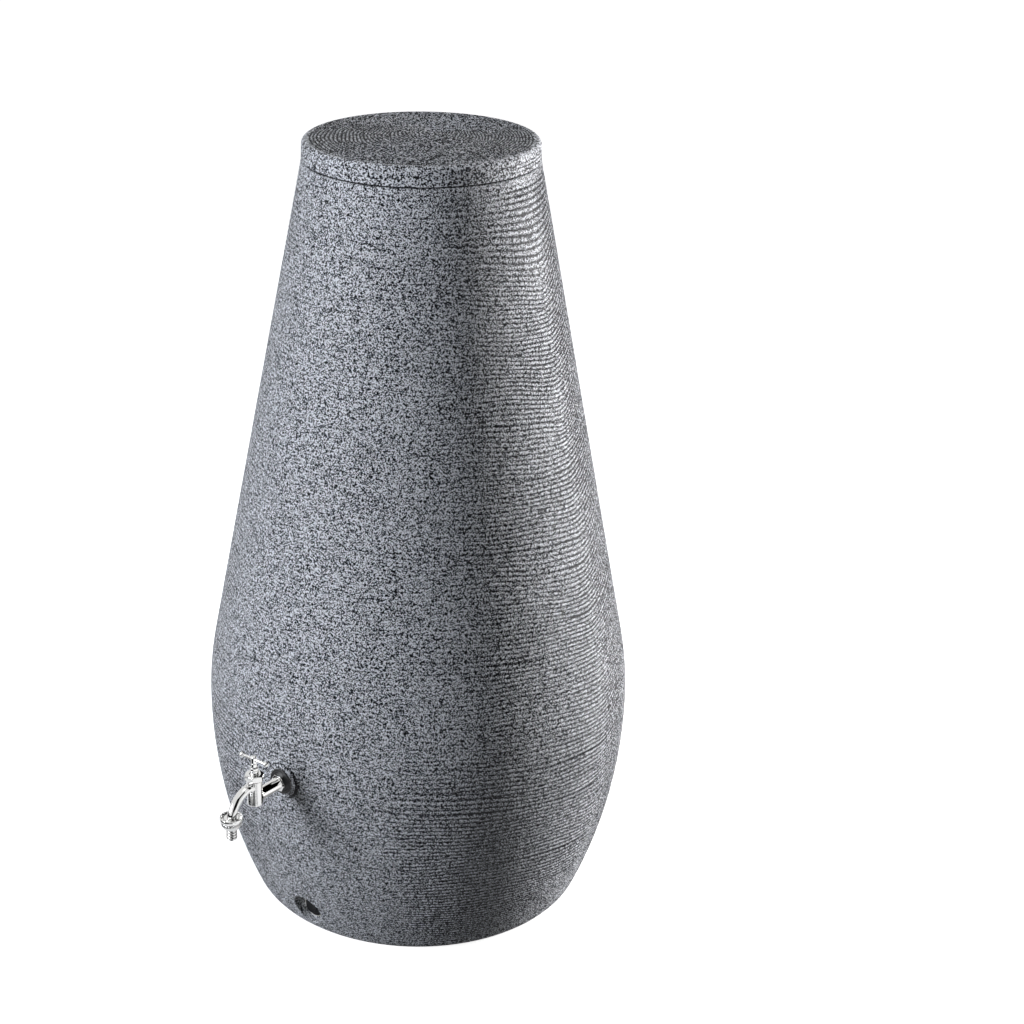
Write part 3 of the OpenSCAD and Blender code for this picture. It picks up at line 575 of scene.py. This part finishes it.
gasket = skin("tap_gasket_ring", turned(rounded([
    (seat_out, 12, 0), (seat_out, 23, 0.8), (gasket_out - 0.5, 23, 0.9), (gasket_out, 20.6, 0.8),
    (gasket_out - 0.2, 19.4, 0.4), (gasket_out - 1.5, 18.4, 0.3), (gasket_out - 1.5, 16.2, 0.3),
    (gasket_out, 14.6, 0.4), (gasket_out, 10.5, 0.3),
    (seat_out, 10.5, 0.3), (seat_out, 12, 0)]), (0, 0, tap_z), out=True), loop=True)
gasket.data.materials.append(rubber)
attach(gasket, "barrel")
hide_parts("tap_gasket")

washer = skin("tap_washer_inside", turned(rounded([
    (washer_back, 12, 0), (washer_back, 20, 0.3), (pad_out, 20, 0.3), (pad_out, 10.5, 0.2),
    (washer_back, 10.5, 0.2), (washer_back, 12, 0)]), (0, 0, tap_z), out=True), loop=True)
washer.data.materials.append(rubber)
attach(washer, "barrel")
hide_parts("tap_inner_washer")

# Bare brass as it leaves the lathe: yellow, a little dull from the water in blotches of about 8 mm
brass = mottled("turned_bare_brass", 120.0, 4.0, "#b08c4c", "#d9bb78", Metallic=1.0, Roughness=0.3)[0]

lock_nut = skin("tap_back_nut", turned(
    [(nut_back, 10.7)] + hexagon(nut_back, washer_back, 30) + [(washer_back, 10.7)], (0, 0, tap_z), out=True),
    loop=True, sharp=32)
bevelled(lock_nut, 0.3)
lock_nut.data.materials.append(brass)
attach(lock_nut, "barrel")
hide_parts("tap_lock_nut")

# ---- Tap body -----------------------------------------------------------------------------------
# The body is one brass casting, machined and chromed: threaded tail, hexagon, round arm, and an
# upright valve body that the arm runs into with a cast fillet.
arm_r, valve_r, valve_low, valve_high, cast_fillet = 10.5, 13.5, 339.5, 386.0, 2.2

# Chrome plate over polished brass: a bright, nearly black-and-white mirror with a faint haze in clouds of 7 mm.
# Where the casting under it was blasted instead of polished, which an attribute says, the mirror turns satin
chrome, tree, shader = finish_of("polished_chrome_plate", Metallic=1.0, Roughness=0.06)
place = put(tree, "ShaderNodeTexCoord").outputs["Object"]
haze = put(tree, "ShaderNodeTexNoise", {"Vector": place, "Scale": 140.0, "Detail": 3.0})
dulled = put(tree, "ShaderNodeMapRange", {"Value": haze.outputs[0], "To Min": 0.03, "To Max": 0.09})
blasted = put(tree, "ShaderNodeAttribute", attribute_name="blasted")
satin = put(tree, "ShaderNodeMath", {0: blasted.outputs["Fac"], 1: 0.13, 2: dulled.outputs[0]},
            operation="MULTIPLY_ADD")
tree.links.new(satin.outputs[0], shader.inputs["Roughness"])
shader.inputs["Base Color"].default_value = srgb("#dcdcdb")
cast = put(tree, "ShaderNodeBump", {"Height": haze.outputs[0], "Strength": 0.08, "Distance": 0.0004})
tree.links.new(cast.outputs[0], shader.inputs["Normal"])


def chromed(name, surface, node, body, loop=False, sharp=32, edges=0.3):
    """A chromed piece that stands for a node of the model and rides on a body."""
    piece = skin(name, surface, loop, sharp)
    if edges:
        bevelled(piece, edges)
    piece.data.materials.append(chrome)
    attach(piece, body)
    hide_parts(node)
    return piece


# Arm: after the hexagon it is a plain rod; within the fillet its radius grows by f (1 - cos t) while its
# distance from the valve body's skin falls by f (1 - sin t), at each angle round the arm
angle = np.linspace(0, 2 * np.pi, 96, endpoint=False)
fillet_t = np.radians(np.linspace(0, 90, 8))[:, None]
fillet_r = arm_r + cast_fillet * (1 - np.cos(fillet_t)) + 0 * angle
skin_gap = np.sqrt(valve_r ** 2 - (fillet_r * np.cos(angle)) ** 2)
fillet_out = valve_out - skin_gap - cast_fillet * (1 - np.sin(fillet_t))
arm = turned(
    [(358.6, 5.5), (358.6, 9.4)] + threaded(359, seat_out + 1, 10.42, 1.814, 1.1) + [(gasket_out, 9.6)]
    + hexagon(gasket_out, arm_out, 27)
    + [(arm_out, arm_r + 0.9), (arm_out + 0.3, arm_r + 0.25), (arm_out + 0.9, arm_r)]
    + [(422, arm_r)] + list(zip(fillet_out, fillet_r)) + [(valve_out - 2, 12.0)], (0, 0, tap_z), out=True)
chromed("tap_inlet_arm", arm, "tap_body", "barrel")

valve = turned(rounded([
    (valve_low, 0.3, 0), (valve_low, valve_r, 3), (valve_high, valve_r, 0.8), (valve_high, 10.5, 0.5),
    (359.8, 10.5, 0.5), (359.8, 6, 0.3), (352, 5.5, 0.3), (352, 0.3, 0)], 8), (0, valve_out, 0))
valve_piece = chromed("tap_valve_body", valve, "tap_body", "barrel", sharp=0, edges=0)
all_blasted = np.ones(len(valve_piece.data.vertices), np.float32)
valve_piece.data.attributes.new("blasted", "FLOAT", "POINT").data.foreach_set("value", all_blasted)

# ---- Spout --------------------------------------------------------------------------------------
# The spout is a bent tube, chromed with the body, that leaves it near the top and falls in one
# quarter turn to the threaded outlet.
bend_out, bend_z, bend_r, tube_r, bore_r, tube_stop_r = 464.064, 330.0, 46.0, 8.0, 5.8, 11.5


def bent(start, end, radius, count, columns=72):
    """A ring of the given radius carried along the spout's middle line, a circle of radius bend_r round
    (bend_out, bend_z) in the plane x = 0; start and end are angles from the outlet's side, in radians."""
    turn = np.linspace(start, end, count)[:, None]
    angle = np.linspace(0, 2 * np.pi, columns, endpoint=False)
    reach = bend_r + radius * np.cos(angle)
    return np.stack([radius * np.sin(angle) + 0 * turn, -(bend_out + reach * np.cos(turn)),
                     bend_z + reach * np.sin(turn)], -1)


# It starts inside the valve body's wall, at start_turn, and swells to a cast fillet where it leaves that wall
start_turn = np.radians(96.2)
spine = np.linspace(start_turn, 0, 64)
from_body = np.clip((np.radians(93) - spine) * bend_r, 0, None)
swell = tube_r + 1.6 * np.exp(-(from_body / 2.2) ** 2)
tube = np.stack([bent(a, a, r, 1)[0] for a, r in zip(spine, swell)])
tube = np.concatenate([tube, bent(0, start_turn, bore_r, 40)])

# The tube's end stays in that wall: what would come nearer to the valve's axis than tube_stop_r is pushed out
from_axis = tube[..., :2] + [0, valve_out]
push = np.clip(tube_stop_r / np.linalg.norm(from_axis, axis=-1, keepdims=True), 1, None)
tube[..., :2] += from_axis * (push - 1)
chromed("spout_tube", tube, "spout", "barrel", loop=True, sharp=40, edges=0)

outlet_out = bend_out + bend_r
collar = turned([(330, 5.9), (330, 12.0)] + threaded(330.4, 340.4, 13.15, 1.814, 1.1, per_turn=7)
                + [tuple(row) for row in rounded([(340.5, 12.6, 0), (341, 12.3, 0.4), (341, 5.9, 0)])],
                (0, outlet_out, 0))
chromed("spout_thread", collar, "spout", "barrel", loop=True, edges=0)

# ---- Headgear -----------------------------------------------------------------------------------
# A hexagonal bonnet screws into the body over a fibre washer. A round gland nut on top of it presses
# the packing round the spindle, whose head carries the cross bar.
bonnet_low, bonnet_high, gland_high = 387.5, 397.5, 410.5

bonnet = turned(
    [(374.2, 5.0), (374.2, 7.4), (380.4, 7.4), (380.6, 10.4), (bonnet_low, 10.4)]
    + hexagon(bonnet_low, bonnet_high, 30)
    + [(bonnet_high, 8.6), (bonnet_high - 0.5, 7.9), (bonnet_high - 0.5, 5.9), (391.2, 5.9), (391.2, 5.0)],
    (0, valve_out, 0))
chromed("tap_bonnet", bonnet, "bonnet", "barrel", loop=True, edges=0.35)

gland = turned(rounded([
    (394.2, 3.6, 0), (394.2, 5.9, 0.2), (bonnet_high - 0.4, 5.9, 0.2), (bonnet_high - 0.4, 7.25, 0.2),
    (404.6, 7.25, 0.3), (405.0, 6.9, 0.2), (405.6, 6.9, 0.2), (406.0, 7.25, 0.3),
    (gland_high, 7.25, 1.1), (gland_high, 3.6, 0.3), (400, 3.55, 0)]), (0, valve_out, 0))
chromed("tap_gland_nut", gland, "gland_nut", "barrel", loop=True, sharp=0, edges=0)

# Vulcanised fibre, punched from red-brown sheet: dull, with pressed paper fibres about 1.4 mm apart
fibre = mottled("vulcanised_fibre", 700.0, 3.0, "#4a211b", "#7d4034", Roughness=0.8, IOR=1.5)[0]

# What the valve and the union hold inside keeps its plain solid and gets its real finish
for name, finish in [("bonnet_washer", fibre), ("gland_packing", rubber), ("jumper_washer", rubber),
                     ("hose_tail_washer", rubber), ("jumper_valve", brass), ("jumper_nut", brass)]:
    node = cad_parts[name]
    node.data.materials.clear()
    node.data.materials.append(finish)

# ---- Handle -------------------------------------------------------------------------------------
# The spindle's round head is cross-drilled for a thin bar with a ball pressed on each end. The bar
# turns the spindle by hand.
head_low, head_high, bar_z, bar_half, knob_r = 411.0, 431.0, 425.5, 26.75, 4.75

spindle = turned(
    [(366.8, 2.6), (366.8, 4.2)] + threaded(367.2, 383.1, 4.9, 2.0, 0.8, columns=64)
    + [tuple(row) for row in rounded([
        (383.2, 3.5, 0), (head_low, 3.5, 0.2), (head_low, 5, 0.6), (417.6, 5, 0.3), (418.1, 4.6, 0.2),
        (418.7, 4.6, 0.2), (419.2, 5, 0.3), (head_high, 5, 2.2), (head_high, 0.2, 0)], 6)]
    + [(head_high, 0.1)], (0, valve_out, 0), columns=64)
chromed("tap_spindle", spindle, "spindle", "spindle", sharp=40, edges=0)


def across(profile, columns=48):
    """A turned shape whose axis lies along X through the cross bar; profile rows are (x, radius)."""
    x, radius = np.array(profile, float).T
    angle = np.linspace(0, 2 * np.pi, columns, endpoint=False)
    return np.stack([x[:, None] + 0 * angle, radius[:, None] * np.cos(angle) - valve_out,
                     bar_z + radius[:, None] * np.sin(angle)], -1)


bar = across([(-26.9, 0.2), (-26.9, 2.4), (-22, 2.5), (-12, 2.75), (-5.5, 3.0), (5.5, 3.0), (12, 2.75), (22, 2.5),
              (26.9, 2.4), (26.9, 0.2)])
chromed("tap_cross_bar", bar, "handle_bar", "spindle", sharp=50, edges=0)

# Each knob is a ball with a short neck; its line is mirrored for the left hand
lobe = arc(0, 0, knob_r, np.pi - 0.06, 0.06, 25)
neck = [(-6.1, 2.45), (-5.2, 2.7), (-4.4, 3.1)]
for hand in (-1, 1):
    knob_line = [(hand * (bar_half + h), r) for h, r in neck + [p for p in lobe.tolist() if p[0] > -3.8]]
    chromed("tap_knob_right" if hand > 0 else "tap_knob_left", across(knob_line), "handle_knobs", "spindle",
            sharp=0, edges=0)

# ---- Hose union ---------------------------------------------------------------------------------
# The union nut is a flared, fluted cup that screws up onto the spout's thread and clamps the barbed
# hose tail against a rubber washer.
union_low, union_high, tail_low = 322.0, 343.0, 300.0

flute_angle = np.linspace(0, 2 * np.pi, 192, endpoint=False)
flute = 0.8 * np.clip(np.cos(24 * flute_angle), 0, 1) ** 0.7
nut_line = rounded([
    (union_low, 8.8, 0), (union_low, 13.4, 0.6), (328.6, 17.6, 0.5), (329.4, 18.0, 0.3), (334.6, 18.0, 0.4),
    (336.6, 19.3, 0.8), (340, 20, 1.2), (union_high, 19.6, 1.0), (union_high, 17.3, 0.7), (338.2, 17.0, 0.6),
    (338.0, 13.3, 0.3), (325.2, 13.3, 0.2), (325.0, 8.8, 0.2), (union_low, 8.8, 0)])

# The flutes are cut into the cup's middle band, which gets seven more rows for them above its lower edge
fluted = smooth_step(nut_line[:, 0], 328.7, 330.0) * smooth_step(-nut_line[:, 0], -335.2, -334.0)
fluted = fluted * (nut_line[:, 1] > 17)
band_low = nut_line[np.argmin(abs(nut_line[:, 0] - 329.5)), 0]
band_h = np.linspace(329.6, 334.4, 7)
band_fluted = smooth_step(band_h, 329.4, 330.3) * smooth_step(-band_h, -334.9, -333.9)
nut_rows = []
for (height, radius), share_here in zip(nut_line, fluted):
    nut_rows.append((height, radius - flute * share_here))
    if abs(height - band_low) < 1e-9 and radius > 17:
        nut_rows += [(h, 18.0 - flute * share_there) for h, share_there in zip(band_h, band_fluted)]
nut = turned(nut_rows, (0, outlet_out, 0), columns=192)
chromed("union_nut_cup", nut, "union_nut", "union_nut", loop=True, sharp=0, edges=0)

barbs = [(union_low - 22, 5.6, 0), (tail_low, 8.1, 0.3)]
for barb_low in tail_low + 5 * np.arange(4):
    barbs += [(barb_low + 0.2, 8.25, 0.15), (barb_low + 3.9, 9.7, 0.35), (barb_low + 4.3, 9.6, 0.2),
              (barb_low + 4.9, 8.3, 0.3)]
tail = turned(rounded(barbs + [
    (tail_low + 20.6, 8.7, 0.3), (325, 8.7, 0.2), (325, 12.6, 0.3), (328, 12.6, 0.3), (328, 5.6, 0.3),
    (310, 5.55, 0)]), (0, outlet_out, 0))
chromed("hose_tail_barbed", tail, "hose_tail", "hose_tail", loop=True, sharp=0, edges=0)

# ---- Studio -------------------------------------------------------------------------------------
# A plain pale floor without a horizon, one large soft lamp on the left, a tall narrow one behind on
# the right, a small weak one over the lid, and a dim room. Lengths here are metres. Each lamp's row is
# its place, what it is aimed at, its width and height, its watts and its colour.
lamps = [("key_lamp", (-1.74, -3.72, 1.85), (0, 0, 0.9), 1.5, 1.6, 142.0, "#f5f8ff"),
         ("rim_lamp", (2.0, 2.67, 1.3), (0, 0, 0.75), 0.5, 1.7, 182.0, "#fffdfd"),
         ("top_lamp", (0.2, 0.1, 3.0), (0, 0, 1.4), 0.8, 0.8, 3.5, "#ffffff")]


def aimed(place, target):
    """Matrix of something at place whose -Z points at target and whose X is level."""
    back = np.array(place, float) - np.array(target, float)
    back /= np.linalg.norm(back)
    right = np.cross([0, 0, 1], back)
    right /= np.linalg.norm(right)
    turn = np.eye(4)
    turn[:3, 0], turn[:3, 1], turn[:3, 2], turn[:3, 3] = right, np.cross(back, right), back, place
    return Matrix(turn.tolist())


for name, place, target, lamp_w, lamp_h, power, tone in lamps:
    lamp = bpy.data.lights.new(name, "AREA")
    lamp.color = srgb(tone)[:3]
    lamp.shape, lamp.size, lamp.size_y, lamp.energy = "RECTANGLE", lamp_w, lamp_h, power
    stand = bpy.data.objects.new(name, lamp)
    stand.matrix_world = aimed(place, target)
    bpy.context.scene.collection.objects.link(stand)


def seen_in(tree):
    """1 for what the eye sees straight, mirrored or through something, and 0 for light that falls on things. Gives
    that value and the Light Path node."""
    path = put(tree, "ShaderNodeLightPath")
    straight_or_mirrored = put(tree, "ShaderNodeMath", {
        0: path.outputs["Is Camera Ray"], 1: path.outputs["Is Glossy Ray"]}, operation="MAXIMUM")
    seen = put(tree, "ShaderNodeMath", {
        0: straight_or_mirrored.outputs[0], 1: path.outputs["Is Transmission Ray"]}, operation="MAXIMUM")
    return seen.outputs[0], path


world = bpy.data.worlds.new("studio_room")
bpy.context.scene.world = world
world.use_nodes = True
tree = world.node_tree
tree.nodes.clear()
seen, path = seen_in(tree)
dim = put(tree, "ShaderNodeBackground", {"Color": srgb("#ffffff"), "Strength": 0.16})
bright = put(tree, "ShaderNodeBackground", {"Color": srgb("#ffffff"), "Strength": 1.0})
room = put(tree, "ShaderNodeMixShader", {0: seen, 1: dim.outputs[0], 2: bright.outputs[0]})
put(tree, "ShaderNodeOutputWorld", {"Surface": room.outputs[0]})

# The floor is white with a glow to the eye, less so in the metal, and keeps the shadow. To the light that falls
# on it it is a dark grey, so that it throws little back up under the belly
eye_glow, metal_loss = 0.90, 0.55
pale, tree, shader = finish_of("pale_studio_floor", Roughness=0.9, Specular_IOR_Level=0.0)
seen, path = seen_in(tree)
paint = put(tree, "ShaderNodeMix", {0: seen, 6: srgb("#404040"), 7: srgb("#ffffff")}, data_type="RGBA")
tree.links.new(paint.outputs[2], shader.inputs["Base Color"])
metal = put(tree, "ShaderNodeMath", {0: path.outputs["Is Glossy Ray"], 1: -metal_loss, 2: eye_glow},
            operation="MULTIPLY_ADD")
glow = put(tree, "ShaderNodeMath", {0: seen, 1: metal.outputs[0]}, operation="MULTIPLY")
shader.inputs["Emission Color"].default_value = srgb("#ffffff")
tree.links.new(glow.outputs[0], shader.inputs["Emission Strength"])

# Black flags stand round the tap, as in any picture of chrome, and only the metal sees them. Each row is a
# curved panel: its two ends, in degrees round the valve, its two heights and its distance from the valve
flags = [(-67, 18, 0.0, 0.128, 0.45), (-67, 18, 0.14, 0.36, 0.45), (18, 50, 0.0, 0.137, 0.45),
         (18, 50, 0.205, 0.36, 0.45), (30, 80, 0.36, 1.0, 0.45), (80, 104, 0.6, 1.0, 0.45),
         (-6, 52, 0.0, 0.22, 0.11), (120, 215, 0.40, 1.0, 0.45), (145, 205, 0.04, 0.12, 0.45),
         (64, 78, 0.05, 0.115, 0.45)]
flag_middle, flag_columns = 0.45, 12
flag_points, flag_faces = [], []
for start, end, low, high, reach in flags:
    sweep = np.radians(np.linspace(start, end, flag_columns))
    first = len(flag_points)
    flag_points += [(reach * np.sin(a), -flag_middle - reach * np.cos(a), z) for z in (low, high) for a in sweep]
    flag_faces += [(i, i + 1, i + 1 + flag_columns, i + flag_columns) for i in range(first, first + flag_columns - 1)]
flag_mesh = bpy.data.meshes.new("black_flags")
flag_mesh.from_pydata(flag_points, [], flag_faces)
velvet, tree, shader = finish_of("black_velvet", Roughness=1.0, Specular_IOR_Level=0.0)
shader.inputs["Base Color"].default_value = srgb("#060606")
flag_mesh.materials.append(velvet)
flag = bpy.data.objects.new("black_flags", flag_mesh)
bpy.context.scene.collection.objects.link(flag)
flag.visible_camera = flag.visible_diffuse = flag.visible_shadow = flag.visible_transmission = False

# The metal doesn't mirror the barrel either: the photo's tap was evidently pictured by itself, on white
for piece in (barrel, seat, pocket):
    piece.visible_glossy = False

floor_half, floor_z = 40, -0.001
floor_corners = [(x * floor_half, y * floor_half, floor_z) for x, y in [(-1, -1), (1, -1), (1, 1), (-1, 1)]]
floor_mesh = bpy.data.meshes.new("studio_floor")
floor_mesh.from_pydata(floor_corners, [], [(0, 1, 2, 3)])
floor_mesh.materials.append(pale)
floor = bpy.data.objects.new("studio_floor", floor_mesh)
bpy.context.scene.collection.objects.link(floor)

# ---- Camera -------------------------------------------------------------------------------------
# A 75 mm lens from above and to the right of the tap, level but for a third of a degree; the frame
# is shifted because the barrel stands left of the picture's middle.
eye = (2.127, -2.752, 2.226)
swing, pitch, roll = np.radians([37.7, 23.33, 0.34])
forward = np.array([-np.sin(swing) * np.cos(pitch), np.cos(swing) * np.cos(pitch), -np.sin(pitch)])
right = np.array([np.cos(swing), np.sin(swing), 0])
up = np.cross(right, forward)
turn = np.eye(4)
turn[:3, 0] = right * np.cos(roll) + up * np.sin(roll)
turn[:3, 1] = up * np.cos(roll) - right * np.sin(roll)
turn[:3, 2] = -forward
turn[:3, 3] = eye
lens = bpy.data.cameras.new("camera")
lens.sensor_width, lens.lens, lens.shift_x = 36.0, 74.95, 0.0906
camera = bpy.data.objects.new("camera", lens)
camera.matrix_world = Matrix(turn.tolist())
bpy.context.scene.collection.objects.link(camera)
bpy.context.scene.camera = camera
bpy.context.scene.view_settings.view_transform = "Standard"
